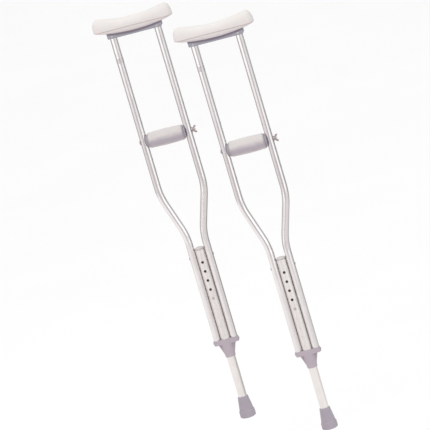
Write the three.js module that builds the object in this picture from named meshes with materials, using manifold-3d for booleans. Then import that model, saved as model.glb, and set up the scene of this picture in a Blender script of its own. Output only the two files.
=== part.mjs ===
// A pair of push-button underarm crutches: crutch a stands on the origin, crutch b beside it.
// Millimetres, +Z up. X runs across each crutch from rail to rail, and -Y is its button side.
import * as THREE from "three";
import { mergeVertices } from "three/addons/utils/BufferGeometryUtils.js";
import Module from "manifold-3d";

const wasm = await Module();
wasm.setup();

// Fits and facets
const GAP = 0.3; // running gap between neighbouring pieces
const RAIL_SIDES = 12;
const TUBE_SIDES = 16;
const HOLE_SIDES = 8;
const ROUND_SIDES = 16;
const TURN = 2 * Math.PI;

// The pair
const SECOND_CRUTCH = [279.5, -386, 0]; // where crutch b's tread centre stands

// Side rails
const RAIL_R = 10.5;
const RAIL_WALL = 1.2;
const RAIL_LOW_X = 24.8; // rails lie against the centre tube
const RAIL_HIGH_X = 66.5;
const RAIL_BOTTOM = 230;
const LOW_BEND_Z = 562;
const HIGH_BEND_Z = 694.5;
const BEND_R = 190;
const BEND_STEPS = 4;
const RAIL_TOP = 1197;

// Height adjustment: centre tube, leg and snap button
const CENTRE_R = 14;
const CENTRE_WALL = 1.2;
const CENTRE_BOTTOM = 229;
const CENTRE_TOP = 516;
const CAP_T = 6;
const CAP_ROUND = 3;
const CAP_PLUG = 8; // how deep the cap plugs into the tube
const LEG_R = 12.5;
const LEG_WALL = 1.5;
const LEG_TOP = 376;
const BUTTON_Z = 367.3;
const HOLE_PITCH = 27.8;
const LEG_STEPS = 4; // holes above and below the one in use
const BUTTON_R = 3.7;
const BUTTON_PROUD = 3;
const BUTTON_DOME = 2;
const BUTTON_CROWN_R = 2.8; // where the dome turns over, a little below its top
const BUTTON_CROWN_DROP = 0.6;
const BUTTON_FLANGE_R = 4.7;
const BUTTON_FLANGE_T = 1;
const BUTTON_SEAT_Y = 9.6; // where the flange stops inside the leg's wall
const SPRING_W = 7;
const SPRING_T = 0.7;
const SPRING_DROP = 30;
const SPRING_RISE = 6;
const SPRING_HALF = 8.2; // half the distance across the two limbs

// Hand grip
const GRIP_Z = 862.5;
const FOAM_STEPS = 6;
const GRIP_STEPS = 3; // bolt holes above and below the one in use
const BOLT_R = 3;
const BOLT_END_X = 88;
const BOLT_HEAD_R = 6.5;
const BOLT_HEAD_T = 3.8;
const SADDLE_R = 18;
const SADDLE_T = 2.4; // disc thickness behind the rail's hollow
const SADDLE_EAR = 3; // how far the ears reach round the rail
const CORE_R = 9;
const FLANGE_R = 21;
const FLANGE_T = 2.5;
const FOAM_END_R = 22;
const FOAM_MID_R = 24;
const WASHER_R = 8;
const WASHER_T = 1.5;
const NUT_HUB_R = 5.6;
const NUT_HUB_L = 6.4;
const WING_SPAN = 12.5;
const WING_REACH = 11.9;
const WING_T = 2.6;
const WING_ROOT = 3.8;
const WING_ROUND = 3; // corners cut off the end of a leaf
const WING_INSET = 1; // how far a leaf's root stands back from the hub's ends

// Yoke that joins the three tubes
const YOKE_BOTTOM = 187;
const PLATE_BOTTOM = 226.5;
const PLATE_TOP = 241;
const PLATE_END_R = 12.5;
const PLATE_DEPTH = 16.4; // half the plate's depth at the centre tube
const COLLAR_LOW_R = 14.6;
const COLLAR_HIGH_R = 18;
const GUSSET_X = 26;
const GUSSET_T = 5;
const GUSSET_LOW_X = 13.6;
const GUSSET_LOW_Z = 191;
const COLLAR_TOP = 237; // the collar ends inside the plate
const GUIDE_R = 14.2;
const GUIDE_BOTTOM = 205;

// Foot
const TIP_R = 23;
const TIP_RING_TOP = 23;
const TIP_CONE_R = 21.4;
const TIP_TOP_R = 15.4;
const TIP_TOP = 63;
const TIP_LIP_H = 1.5;
const TIP_LIP_W = 1;
const TREAD_R = 19;
const TREAD_ROUND = 2.5;
const TIP_FLOOR = 5.7;
const DISC_T = 2;

// Underarm pad and its bracket
const BRACKET_BOTTOM = 1182;
const BRACKET_HALF_L = 81;
const BRACKET_END_TOP = 1203;
const BRACKET_MID_TOP = 1197;
const BRACKET_HALF_W = 15.4;
const BRACKET_CHAMFER = 2;
const BRACKET_STEPS = 6;
const PAD_HALF_L = 117.5;
const PAD_HALF_W = 25;
const PAD_ROUND = 9; // edge rounding in the pad's outline
const PAD_ROUND_W = 11; // edge rounding across the pad
const PAD_END_TOP = 1246;
const PAD_DIP = 1231;
const PAD_BELLY = 1188.5;
const PAD_BELLY_END = 1201;
const PAD_NOSE = 6; // how far the ends' noses stand past the belly
const PAD_STEPS = 8;

// Rivets and trim
const RIVET_R = 2.2;
const RIVET_HEAD_R = 3.6;
const RIVET_HEAD_T = 1.6;
const RIVET_CROWN_R = 2.2; // flat middle of a head's dome
const YOKE_RIVET_L = 6;
const FRAME_RIVET_Z = 494;
const YOKE_RIVET_Z = 234;
const BRACKET_RIVET_Z = 1187.6;
const BAND_LOW = 1105;
const BAND_HIGH = 1119;
const BAND_T = 0.4;

const FINISH = {
  polished: { color: 0xd9d7da, roughness: 0.18, metalness: 1 },
  satin: { color: 0xe2ded9, roughness: 0.42, metalness: 1 },
  pad: { color: 0xede9e5, roughness: 0.55, metalness: 0 },
  bracket: { color: 0x969eac, roughness: 0.5, metalness: 0 },
  yoke: { color: 0xb2a8b6, roughness: 0.5, metalness: 0 },
  rubber: { color: 0xa59eac, roughness: 0.8, metalness: 0 },
  foam: { color: 0xcdc6c9, roughness: 0.9, metalness: 0 },
  saddle: { color: 0x75747c, roughness: 0.5, metalness: 0 },
  steel: { color: 0xb8b8bc, roughness: 0.3, metalness: 1 },
  bronze: { color: 0x8c6e6e, roughness: 0.4, metalness: 1 },
  band: { color: 0xd6d4d2, roughness: 0.35, metalness: 0 },
};

// --- Solids -------------------------------------------------------------------------------

function toSolid(geometry) {
  const bare = geometry.index ? geometry.toNonIndexed() : geometry.clone();
  bare.deleteAttribute("normal");
  bare.deleteAttribute("uv");
  const merged = mergeVertices(bare, 1e-4);
  const corners = merged.index.array;
  const kept = [];
  for (let i = 0; i < corners.length; i += 3) {
    const [a, b, c] = corners.slice(i, i + 3);
    if (a !== b && b !== c && c !== a) kept.push(a, b, c);
  }
  return new wasm.Manifold(
    new wasm.Mesh({
      numProp: 3,
      vertProperties: merged.attributes.position.array,
      triVerts: new Uint32Array(kept),
    }),
  );
}

function toGeometry(solid) {
  const mesh = solid.getMesh();
  const geometry = new THREE.BufferGeometry();
  geometry.setAttribute("position", new THREE.BufferAttribute(mesh.vertProperties, 3));
  geometry.setIndex(new THREE.BufferAttribute(mesh.triVerts, 1));
  geometry.computeVertexNormals();
  return geometry;
}

const cut = (body, ...tools) =>
  toGeometry(tools.reduce((left, tool) => left.subtract(toSolid(tool)), toSolid(body)));

const join = (...pieces) =>
  toGeometry(pieces.map(toSolid).reduce((whole, piece) => whole.add(piece)));

function ringOutline(outer, inner, sides) {
  const around = (r) =>
    Array.from({ length: sides }, (_, i) => {
      const angle = ((i + 0.5) * TURN) / sides;
      return new THREE.Vector2(r * Math.cos(angle), r * Math.sin(angle));
    });
  const shape = new THREE.Shape(around(outer));
  if (inner) shape.holes.push(new THREE.Path(around(inner)));
  return shape;
}

// A straight bar or tube along Z from low to high.
function upright(x, y, low, high, outer, inner = 0, sides = TUBE_SIDES) {
  const shape = ringOutline(outer, inner, sides);
  const geometry = new THREE.ExtrudeGeometry(shape, { depth: high - low, bevelEnabled: false });
  return geometry.translate(x, y, low);
}

// A straight bar or tube along X from low to high, at height z.
function crosswise(low, high, z, outer, inner = 0, sides = HOLE_SIDES) {
  const bar = upright(0, 0, low, high, outer, inner, sides);
  return bar.rotateY(Math.PI / 2).translate(0, 0, z);
}

// A straight bar along Y from low to high, through (x, z).
function lengthwise(x, z, low, high, outer, sides = HOLE_SIDES) {
  const bar = upright(0, 0, low, high, outer, 0, sides);
  return bar.rotateX(-Math.PI / 2).translate(x, 0, z);
}

// An outline in X and Z, extruded along Y over the given half-depth.
function slab(shape, halfDepth, bevel = {}) {
  const thickness = bevel.bevelThickness ?? 0;
  const depth = 2 * (halfDepth - thickness);
  const options = { depth, bevelEnabled: thickness > 0, curveSegments: 4, ...bevel };
  const geometry = new THREE.ExtrudeGeometry(shape, options);
  return geometry.translate(0, 0, -depth / 2).rotateX(Math.PI / 2);
}

// A profile of [radius, height] pairs turned about Z.
function turned(profile, sides = ROUND_SIDES) {
  const points = profile.map(([r, z]) => new THREE.Vector2(r, z));
  return new THREE.LatheGeometry(points, sides).rotateX(Math.PI / 2);
}

// Points of an arc through (-half, endZ), (0, midZ) and (half, endZ), from -half to +half.
function sagging(half, midZ, endZ, steps) {
  const drop = endZ - midZ;
  return Array.from({ length: steps + 1 }, (_, i) => {
    const x = half * ((2 * i) / steps - 1);
    return new THREE.Vector2(x, midZ + drop * (x / half) ** 2);
  });
}

// --- Side rails ---------------------------------------------------------------------------

// Straight, bend outward, straight, bend back, straight: stations stand only where it turns.
class RailPath extends THREE.Curve {
  constructor(side) {
    super();
    const slope = Math.atan2(RAIL_HIGH_X - RAIL_LOW_X, HIGH_BEND_Z - LOW_BEND_Z);
    const reach = BEND_R * Math.tan(slope / 2);
    this.stations = [{ x: RAIL_LOW_X, z: RAIL_BOTTOM, lean: 0 }];
    const bend = (startX, startZ, from, to) => {
      const turn = Math.sign(to - from);
      for (let i = 0; i <= BEND_STEPS; i++) {
        const lean = from + ((to - from) * i) / BEND_STEPS;
        const x = startX + turn * BEND_R * (Math.cos(from) - Math.cos(lean));
        const z = startZ + turn * BEND_R * (Math.sin(lean) - Math.sin(from));
        this.stations.push({ x, z, lean });
      }
    };
    bend(RAIL_LOW_X, LOW_BEND_Z - reach, 0, slope);
    const upperX = RAIL_HIGH_X - reach * Math.sin(slope);
    const upperZ = HIGH_BEND_Z - reach * Math.cos(slope);
    bend(upperX, upperZ, slope, 0);
    this.stations.push({ x: RAIL_HIGH_X, z: RAIL_TOP, lean: 0 });
    this.side = side;
  }
  at(u) {
    return this.stations[Math.round(u * (this.stations.length - 1))];
  }
  getPointAt(u, target = new THREE.Vector3()) {
    const { x, z } = this.at(u);
    return target.set(this.side * x, 0, z);
  }
  getTangentAt(u, target = new THREE.Vector3()) {
    const { lean } = this.at(u);
    return target.set(this.side * Math.sin(lean), 0, Math.cos(lean));
  }
}

const gripHoles = Array.from({ length: 2 * GRIP_STEPS + 1 }, (_, i) =>
  GRIP_Z + (i - GRIP_STEPS) * HOLE_PITCH);
const buttonHoles = Array.from({ length: 2 * LEG_STEPS + 1 }, (_, i) =>
  BUTTON_Z + (i - LEG_STEPS) * HOLE_PITCH);

function rail(side) {
  const path = new RailPath(side);
  const shape = ringOutline(RAIL_R, RAIL_R - RAIL_WALL, RAIL_SIDES);
  const steps = path.stations.length - 1;
  const tube = new THREE.ExtrudeGeometry(shape, { steps, extrudePath: path });
  const across = (x, z, r) => crosswise(x - 2 * RAIL_R, x + 2 * RAIL_R, z, r);
  const high = side * RAIL_HIGH_X;
  const low = side * RAIL_LOW_X;
  const yokeHole = side > 0 ? [low, low + 2 * RAIL_R] : [low - 2 * RAIL_R, low];
  return cut(
    tube,
    ...gripHoles.map((z) => across(high, z, BOLT_R + GAP)),
    across(low, FRAME_RIVET_Z, RIVET_R + GAP),
    crosswise(...yokeHole, YOKE_RIVET_Z, RIVET_R + GAP),
    lengthwise(high, BRACKET_RIVET_Z, -2 * RAIL_R, 2 * RAIL_R, RIVET_R + GAP),
  );
}

function labelBand() {
  const inner = RAIL_R + GAP;
  return upright(-RAIL_HIGH_X, 0, BAND_LOW, BAND_HIGH, inner + BAND_T, inner, RAIL_SIDES);
}

// --- Height adjustment --------------------------------------------------------------------

function centreTube() {
  const tube = upright(0, 0, CENTRE_BOTTOM, CENTRE_TOP, CENTRE_R, CENTRE_R - CENTRE_WALL);
  const front = buttonHoles.map((z) => lengthwise(0, z, -2 * CENTRE_R, 0, BUTTON_R + GAP));
  const rivet = crosswise(-2 * CENTRE_R, 2 * CENTRE_R, FRAME_RIVET_Z, RIVET_R + GAP);
  return cut(tube, ...front, rivet);
}

function centreCap() {
  const plug = CENTRE_R - CENTRE_WALL - GAP;
  const foot = CENTRE_TOP + GAP;
  return turned([
    [0, foot - CAP_PLUG],
    [plug, foot - CAP_PLUG],
    [plug, foot],
    [CENTRE_R, foot],
    [CENTRE_R, foot + CAP_T - CAP_ROUND],
    [CENTRE_R - CAP_ROUND, foot + CAP_T],
    [0, foot + CAP_T],
  ]);
}

function legTube() {
  const bottom = TIP_FLOOR + DISC_T + 2 * GAP;
  const tube = upright(0, 0, bottom, LEG_TOP, LEG_R, LEG_R - LEG_WALL);
  return cut(tube, lengthwise(0, BUTTON_Z, -2 * LEG_R, 0, BUTTON_R + GAP));
}

function snapButton() {
  const back = BUTTON_SEAT_Y - BUTTON_FLANGE_T;
  const end = CENTRE_R + BUTTON_PROUD;
  const profile = [
    [0, back],
    [BUTTON_FLANGE_R, back],
    [BUTTON_FLANGE_R, BUTTON_SEAT_Y],
    [BUTTON_R, BUTTON_SEAT_Y],
    [BUTTON_R, end - BUTTON_DOME],
    [BUTTON_CROWN_R, end - BUTTON_CROWN_DROP],
    [0, end],
  ];
  return turned(profile, HOLE_SIDES).rotateX(Math.PI / 2).translate(0, 0, BUTTON_Z);
}

// A spring strip bent into a U inside the leg: its front limb carries the button.
function snapSpring() {
  const limb = SPRING_HALF;
  const low = BUTTON_Z - SPRING_DROP;
  const high = BUTTON_Z + SPRING_RISE;
  const shape = new THREE.Shape();
  shape.moveTo(-limb, high);
  shape.lineTo(-limb, low);
  shape.absarc(0, low, limb, Math.PI, TURN, false);
  shape.lineTo(limb, high);
  shape.lineTo(limb - SPRING_T, high);
  shape.lineTo(limb - SPRING_T, low);
  shape.absarc(0, low, limb - SPRING_T, TURN, Math.PI, true);
  shape.lineTo(SPRING_T - limb, high);
  return slab(shape, SPRING_W / 2).rotateZ(Math.PI / 2);
}

// --- Yoke and foot ------------------------------------------------------------------------

function yoke() {
  const plate = new THREE.Shape();
  plate.absarc(RAIL_LOW_X, 0, PLATE_END_R, -Math.PI / 2, Math.PI / 2, false);
  plate.quadraticCurveTo(RAIL_LOW_X / 2, PLATE_DEPTH, 0, PLATE_DEPTH);
  plate.quadraticCurveTo(-RAIL_LOW_X / 2, PLATE_DEPTH, -RAIL_LOW_X, PLATE_END_R);
  plate.absarc(-RAIL_LOW_X, 0, PLATE_END_R, Math.PI / 2, (3 * Math.PI) / 2, false);
  plate.quadraticCurveTo(-RAIL_LOW_X / 2, -PLATE_DEPTH, 0, -PLATE_DEPTH);
  plate.quadraticCurveTo(RAIL_LOW_X / 2, -PLATE_DEPTH, RAIL_LOW_X, -PLATE_END_R);
  const depth = PLATE_TOP - PLATE_BOTTOM;
  const flange = new THREE.ExtrudeGeometry(plate, {
    depth,
    bevelEnabled: false,
    curveSegments: 5,
  });
  flange.translate(0, 0, PLATE_BOTTOM);
  const collar = turned([
    [0, YOKE_BOTTOM],
    [COLLAR_LOW_R, YOKE_BOTTOM],
    [COLLAR_HIGH_R, PLATE_BOTTOM],
    [COLLAR_HIGH_R, COLLAR_TOP],
    [0, COLLAR_TOP],
  ]);
  const web = new THREE.Shape();
  web.moveTo(-GUSSET_LOW_X, GUSSET_LOW_Z);
  web.lineTo(GUSSET_LOW_X, GUSSET_LOW_Z);
  web.lineTo(GUSSET_X, PLATE_BOTTOM + 1);
  web.lineTo(-GUSSET_X, PLATE_BOTTOM + 1);
  const body = join(flange, collar, slab(web, GUSSET_T / 2));
  const above = 2 * PLATE_TOP;
  const seat = RAIL_BOTTOM - GAP;
  const rivetHole = crosswise(-2 * RAIL_LOW_X, 2 * RAIL_LOW_X, YOKE_RIVET_Z, RIVET_R + GAP);
  return cut(
    body,
    upright(RAIL_LOW_X, 0, seat, above, RAIL_R + GAP, 0, RAIL_SIDES),
    upright(-RAIL_LOW_X, 0, seat, above, RAIL_R + GAP, 0, RAIL_SIDES),
    upright(0, 0, CENTRE_BOTTOM - GAP, above, CENTRE_R + GAP),
    upright(0, 0, GUIDE_BOTTOM - GAP, above, GUIDE_R + GAP),
    upright(0, 0, YOKE_BOTTOM - 1, above, LEG_R + GAP),
    outerEnds(rivetHole),
  );
}

// Keeps only the outer stretches of the yoke's rivet hole, so that its middle stays whole.
function outerEnds(hole) {
  const middle = new THREE.BoxGeometry(2 * RAIL_LOW_X, 4 * RAIL_R, 4 * RAIL_R);
  return cut(hole, middle.translate(0, 0, YOKE_RIVET_Z));
}

function rubberTip() {
  return turned([
    [0, 0],
    [TREAD_R, 0],
    [TIP_R - GAP, TREAD_ROUND],
    [TIP_R, TIP_RING_TOP - TREAD_ROUND],
    [TIP_CONE_R, TIP_RING_TOP],
    [TIP_TOP_R, TIP_TOP - TIP_LIP_H],
    [TIP_TOP_R - TIP_LIP_W, TIP_TOP],
    [LEG_R + GAP, TIP_TOP],
    [LEG_R + GAP, TIP_FLOOR],
    [0, TIP_FLOOR],
  ]);
}

// --- Underarm pad and bracket -------------------------------------------------------------

function bracketOutline(grow) {
  const half = BRACKET_HALF_L + grow;
  const top = sagging(half, BRACKET_MID_TOP + grow, BRACKET_END_TOP + grow, BRACKET_STEPS);
  return new THREE.Shape([
    new THREE.Vector2(half - BRACKET_CHAMFER, BRACKET_BOTTOM - grow),
    new THREE.Vector2(half, BRACKET_BOTTOM + BRACKET_CHAMFER - grow),
    ...top.reverse(),
    new THREE.Vector2(-half, BRACKET_BOTTOM + BRACKET_CHAMFER - grow),
    new THREE.Vector2(BRACKET_CHAMFER - half, BRACKET_BOTTOM - grow),
  ]);
}

function bracket() {
  const below = BRACKET_BOTTOM - RAIL_R;
  const socketTop = RAIL_TOP + GAP;
  const reach = 2 * BRACKET_HALF_W;
  return cut(
    slab(bracketOutline(0), BRACKET_HALF_W),
    ...[-1, 1].flatMap((side) => [
      upright(side * RAIL_HIGH_X, 0, below, socketTop, RAIL_R + GAP, 0, RAIL_SIDES),
      lengthwise(side * RAIL_HIGH_X, BRACKET_RIVET_Z, -reach, reach, RIVET_R + GAP),
    ]),
  );
}

function pad() {
  const r = PAD_ROUND;
  const reach = PAD_HALF_L - r - PAD_NOSE;
  const top = sagging(reach, PAD_DIP - r, PAD_END_TOP - r, PAD_STEPS);
  const belly = sagging(reach, PAD_BELLY + r, PAD_BELLY_END + r, PAD_STEPS);
  const endZ = (PAD_END_TOP + PAD_BELLY_END) / 2;
  const shape = new THREE.Shape([
    ...belly,
    new THREE.Vector2(PAD_HALF_L - r, endZ),
    ...top.reverse(),
    new THREE.Vector2(r - PAD_HALF_L, endZ),
  ]);
  const rounding = { bevelThickness: PAD_ROUND_W, bevelSize: r, bevelSegments: 3 };
  const cushion = slab(shape, PAD_HALF_W, rounding);
  return cut(cushion, slab(bracketOutline(GAP), BRACKET_HALF_W + GAP));
}

// --- Hand grip ----------------------------------------------------------------------------

const SADDLE_INNER = RAIL_HIGH_X - RAIL_R - GAP - SADDLE_T;
const CORE_END = SADDLE_INNER - GAP;

function saddle(side) {
  const outer = SADDLE_INNER + SADDLE_T + SADDLE_EAR;
  const [low, high] = side > 0 ? [SADDLE_INNER, outer] : [-outer, -SADDLE_INNER];
  return cut(
    crosswise(low, high, GRIP_Z, SADDLE_R, 0, ROUND_SIDES),
    upright(side * RAIL_HIGH_X, 0, 0, 2 * GRIP_Z, RAIL_R + GAP, 0, RAIL_SIDES),
    crosswise(-2 * RAIL_HIGH_X, 2 * RAIL_HIGH_X, GRIP_Z, BOLT_R + GAP),
  );
}

// A profile of [radius, x] pairs turned about the bolt's axis.
const turnedOnBolt = (profile, sides) =>
  turned(profile, sides).rotateY(Math.PI / 2).translate(0, 0, GRIP_Z);

function gripCore() {
  const bore = BOLT_R + GAP;
  const inner = CORE_END - FLANGE_T;
  const profile = [
    [bore, -CORE_END],
    [FLANGE_R, -CORE_END],
    [FLANGE_R, -inner],
    [CORE_R, -inner],
    [CORE_R, inner],
    [FLANGE_R, inner],
    [FLANGE_R, CORE_END],
    [bore, CORE_END],
    [bore, -CORE_END],
  ];
  return turnedOnBolt(profile);
}

function gripFoam() {
  const half = CORE_END - FLANGE_T - GAP;
  const bulge = FOAM_MID_R - FOAM_END_R;
  const skin = Array.from({ length: FOAM_STEPS + 1 }, (_, i) => {
    const x = half * ((2 * i) / FOAM_STEPS - 1);
    return [FOAM_END_R + bulge * (1 - (x / half) ** 2), x];
  });
  const bore = CORE_R + GAP;
  return turnedOnBolt([[bore, -half], ...skin, [bore, half], [bore, -half]]);
}

function gripBolt() {
  const seat = -(RAIL_HIGH_X + RAIL_R + GAP);
  const head = crosswise(seat - BOLT_HEAD_T, seat, GRIP_Z, BOLT_HEAD_R, 0, ROUND_SIDES);
  return join(crosswise(seat - 1, BOLT_END_X, GRIP_Z, BOLT_R), head);
}

const WASHER_X = RAIL_HIGH_X + RAIL_R + GAP;
const NUT_X = WASHER_X + WASHER_T + GAP;

const flatWasher = () =>
  crosswise(WASHER_X, WASHER_X + WASHER_T, GRIP_Z, WASHER_R, BOLT_R + GAP, HOLE_SIDES);

function wingNut() {
  const hub = crosswise(NUT_X, NUT_X + NUT_HUB_L, GRIP_Z, NUT_HUB_R, 0, HOLE_SIDES);
  const wing = (up) => {
    const shape = new THREE.Shape();
    const point = (out, off) => [NUT_X + out, GRIP_Z + up * off];
    shape.moveTo(...point(WING_INSET, WING_ROOT));
    shape.lineTo(...point(NUT_HUB_L - WING_INSET / 2, WING_ROOT));
    shape.lineTo(...point(WING_REACH, WING_SPAN - WING_ROUND));
    shape.lineTo(...point(WING_REACH, WING_SPAN - WING_INSET));
    shape.lineTo(...point(WING_REACH - WING_ROUND, WING_SPAN));
    shape.lineTo(...point(NUT_HUB_L - 2 * WING_INSET, WING_SPAN - WING_ROUND));
    return slab(shape, WING_T / 2);
  };
  const blank = join(hub, wing(1), wing(-1));
  return cut(blank, crosswise(0, 2 * NUT_X, GRIP_Z, BOLT_R + GAP));
}

// --- Rivets -------------------------------------------------------------------------------

// A domed rivet along Z: its shank from 0 to length, with a head on each end that has one.
function rivet(length, headBelow, headAbove) {
  const low = headBelow
    ? [[0, -RIVET_HEAD_T], [RIVET_CROWN_R, -RIVET_HEAD_T], [RIVET_HEAD_R, 0], [RIVET_R, 0]]
    : [[0, 0], [RIVET_R, 0]];
  const far = length + RIVET_HEAD_T;
  const high = headAbove
    ? [[RIVET_R, length], [RIVET_HEAD_R, length], [RIVET_CROWN_R, far], [0, far]]
    : [[RIVET_R, length], [0, length]];
  return turned([...low, ...high], HOLE_SIDES).rotateZ(TURN / HOLE_SIDES / 2);
}

function frameRivet() {
  const half = RAIL_LOW_X + RAIL_R + GAP;
  const shaft = rivet(2 * half, true, true).translate(0, 0, -half);
  return shaft.rotateY(Math.PI / 2).translate(0, 0, FRAME_RIVET_Z);
}

function yokeRivet(side) {
  const seat = RAIL_LOW_X + PLATE_END_R + GAP;
  const shaft = rivet(YOKE_RIVET_L, false, true).translate(0, 0, seat - YOKE_RIVET_L);
  return shaft.rotateY((side * Math.PI) / 2).translate(0, 0, YOKE_RIVET_Z);
}

function bracketRivet(side) {
  const half = BRACKET_HALF_W + GAP;
  const shaft = rivet(2 * half, true, true).translate(0, 0, -half);
  return shaft.rotateX(Math.PI / 2).translate(side * RAIL_HIGH_X, 0, BRACKET_RIVET_Z);
}

// --- Assembly -----------------------------------------------------------------------------

function addPieces(group, label, pieces) {
  for (const [name, finish, geometry] of pieces) {
    const material = new THREE.MeshStandardMaterial(FINISH[finish]);
    const mesh = new THREE.Mesh(geometry, material);
    mesh.name = `${name}_${label}`;
    group.add(mesh);
  }
}

function crutch(label) {
  const group = new THREE.Group();
  const guide = upright(0, 0, GUIDE_BOTTOM, CENTRE_BOTTOM - 2 * GAP, GUIDE_R, LEG_R + GAP);
  const disc = upright(0, 0, TIP_FLOOR + GAP, TIP_FLOOR + DISC_T, LEG_R - GAP);
  addPieces(group, label, [
    ["left_rail", "polished", rail(-1)],
    ["right_rail", "polished", rail(1)],
    ["centre_tube", "satin", centreTube()],
    ["centre_tube_cap", "band", centreCap()],
    ["saddle_bracket", "bracket", bracket()],
    ["underarm_pad", "pad", pad()],
    ["yoke", "yoke", yoke()],
    ["leg_guide", "band", guide],
    ["frame_rivet", "steel", frameRivet()],
    ["yoke_rivet_left", "steel", yokeRivet(-1)],
    ["yoke_rivet_right", "steel", yokeRivet(1)],
    ["bracket_rivet_left", "steel", bracketRivet(-1)],
    ["bracket_rivet_right", "steel", bracketRivet(1)],
    ["label_band", "band", labelBand()],
    ["grip_core", "saddle", gripCore()],
    ["grip_foam", "foam", gripFoam()],
    ["saddle_washer_left", "saddle", saddle(-1)],
    ["saddle_washer_right", "saddle", saddle(1)],
    ["grip_bolt", "steel", gripBolt()],
    ["flat_washer", "steel", flatWasher()],
    ["wing_nut", "bronze", wingNut()],
    ["leg_tube", "satin", legTube()],
    ["rubber_tip", "rubber", rubberTip()],
    ["tip_disc", "steel", disc],
    ["snap_spring", "steel", snapSpring()],
    ["snap_button", "steel", snapButton()],
  ]);
  return group;
}

const pair = new THREE.Group();
pair.add(crutch("a"));
const second = crutch("b");
second.position.set(...SECOND_CRUTCH);
pair.add(second);

export default pair;
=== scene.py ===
"""A pair of push-button underarm crutches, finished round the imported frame. Metres, +Z up."""
import math

import bmesh
import bpy
import numpy as np
from mathutils import Matrix, Vector, noise


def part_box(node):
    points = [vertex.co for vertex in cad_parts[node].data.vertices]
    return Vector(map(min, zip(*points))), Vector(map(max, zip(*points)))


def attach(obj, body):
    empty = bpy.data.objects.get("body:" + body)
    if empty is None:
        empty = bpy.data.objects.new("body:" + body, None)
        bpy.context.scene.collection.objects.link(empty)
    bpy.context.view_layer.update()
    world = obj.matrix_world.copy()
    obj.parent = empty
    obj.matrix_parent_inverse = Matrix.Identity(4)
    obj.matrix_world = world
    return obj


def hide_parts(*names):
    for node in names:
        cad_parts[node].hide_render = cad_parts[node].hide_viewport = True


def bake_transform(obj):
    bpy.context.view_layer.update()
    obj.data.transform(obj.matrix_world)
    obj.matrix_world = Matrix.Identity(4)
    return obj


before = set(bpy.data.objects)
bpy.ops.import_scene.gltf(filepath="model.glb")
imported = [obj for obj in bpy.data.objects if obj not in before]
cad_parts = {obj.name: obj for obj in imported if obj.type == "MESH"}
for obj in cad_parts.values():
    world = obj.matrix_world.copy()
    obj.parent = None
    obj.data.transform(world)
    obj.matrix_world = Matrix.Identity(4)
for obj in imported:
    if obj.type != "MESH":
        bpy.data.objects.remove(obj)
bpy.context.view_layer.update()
MM = 0.001

# Sizes in millimetres, in each crutch's own frame: its tread centre is the origin.
RAIL_R, RAIL_WALL = 10.5, 1.2
RAIL_LOW_X, RAIL_HIGH_X = 24.8, 66.5
LOW_BEND_Z, HIGH_BEND_Z, BEND_R = 562.0, 694.5, 190.0
CENTRE_R, CENTRE_WALL = 14.0, 1.2
LEG_R, LEG_WALL = 12.5, 1.5
BUTTON_Z, HOLE_PITCH, BUTTON_R = 367.3, 27.8, 3.7
LEG_STEPS, GRIP_STEPS = 4, 3
GRIP_Z, BOLT_R, FOAM_R = 862.5, 3.0, 24.0
FRAME_RIVET_Z, YOKE_RIVET_Z, BRACKET_RIVET_Z = 494.0, 234.0, 1187.6
PLATE_END_R = 12.5
PAD_SEAM_Z = 1208.5
PAD_BELLY_Z, PAD_BELLY_RISE, PAD_BELLY_HALF = 1188.5, 12.5, 102.5
RIVET_R = 2.2
GAP = 0.3
FINEST, FINE, COARSE, ROUGH = 96, 64, 40, 32  # facets round turned pieces


# --- Where things are ---


def tread_centre(label):
    """The middle of a crutch's tread, in metres."""
    low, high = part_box(f"rubber_tip_{label}")
    return np.array([(low[0] + high[0]) / 2, (low[1] + high[1]) / 2, low[2]])


ORIGIN = {label: tread_centre(label) for label in "ab"}


def span_mm(node, axis):
    """Where a CAD node starts and ends on an axis of its own crutch's frame."""
    k = "XYZ".index(axis)
    return tuple((corner[k] - ORIGIN["a"][k]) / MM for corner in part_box(f"{node}_a"))


# --- Materials ---

MIX_COLOUR_INPUTS, MIX_COLOUR_OUTPUT = (0, 6, 7), 2  # a Mix node's sockets when it mixes colours


def new_material(name, colour, roughness, metallic=0.0):
    """A material with its node tree and its shader."""
    material = bpy.data.materials.new(name)
    material.use_nodes = True
    tree = material.node_tree
    shader = tree.nodes["Principled BSDF"]
    shader.inputs["Base Color"].default_value = (*colour, 1)
    shader.inputs["Roughness"].default_value = roughness
    shader.inputs["Metallic"].default_value = metallic
    return material, tree, shader


def coordinates(tree, stretch=(1, 1, 1)):
    """The object's own coordinates in metres, stretched along each axis."""
    place = tree.nodes.new("ShaderNodeTexCoord")
    scale = tree.nodes.new("ShaderNodeMapping")
    scale.inputs["Scale"].default_value = stretch
    tree.links.new(place.outputs["Object"], scale.inputs["Vector"])
    return scale.outputs["Vector"]


def grain(tree, vector, scale, detail):
    """Noise from 0 to 1."""
    texture = tree.nodes.new("ShaderNodeTexNoise")
    texture.inputs["Scale"].default_value = scale
    texture.inputs["Detail"].default_value = detail
    texture.inputs["Roughness"].default_value = 0.55
    tree.links.new(vector, texture.inputs["Vector"])
    return texture.outputs["Fac"]


def ramp(tree, value, *stops):
    """Maps a value through (position, grey or colour) stops."""
    node = tree.nodes.new("ShaderNodeValToRGB")
    elements = node.color_ramp.elements
    while len(elements) < len(stops):
        elements.new(0.5)
    for element, (position, colour) in zip(elements, stops):
        element.position = position
        grey = isinstance(colour, (int, float))
        element.color = (colour, colour, colour, 1) if grey else (*colour, 1)
    tree.links.new(value, node.inputs["Fac"])
    return node.outputs["Color"]


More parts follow.
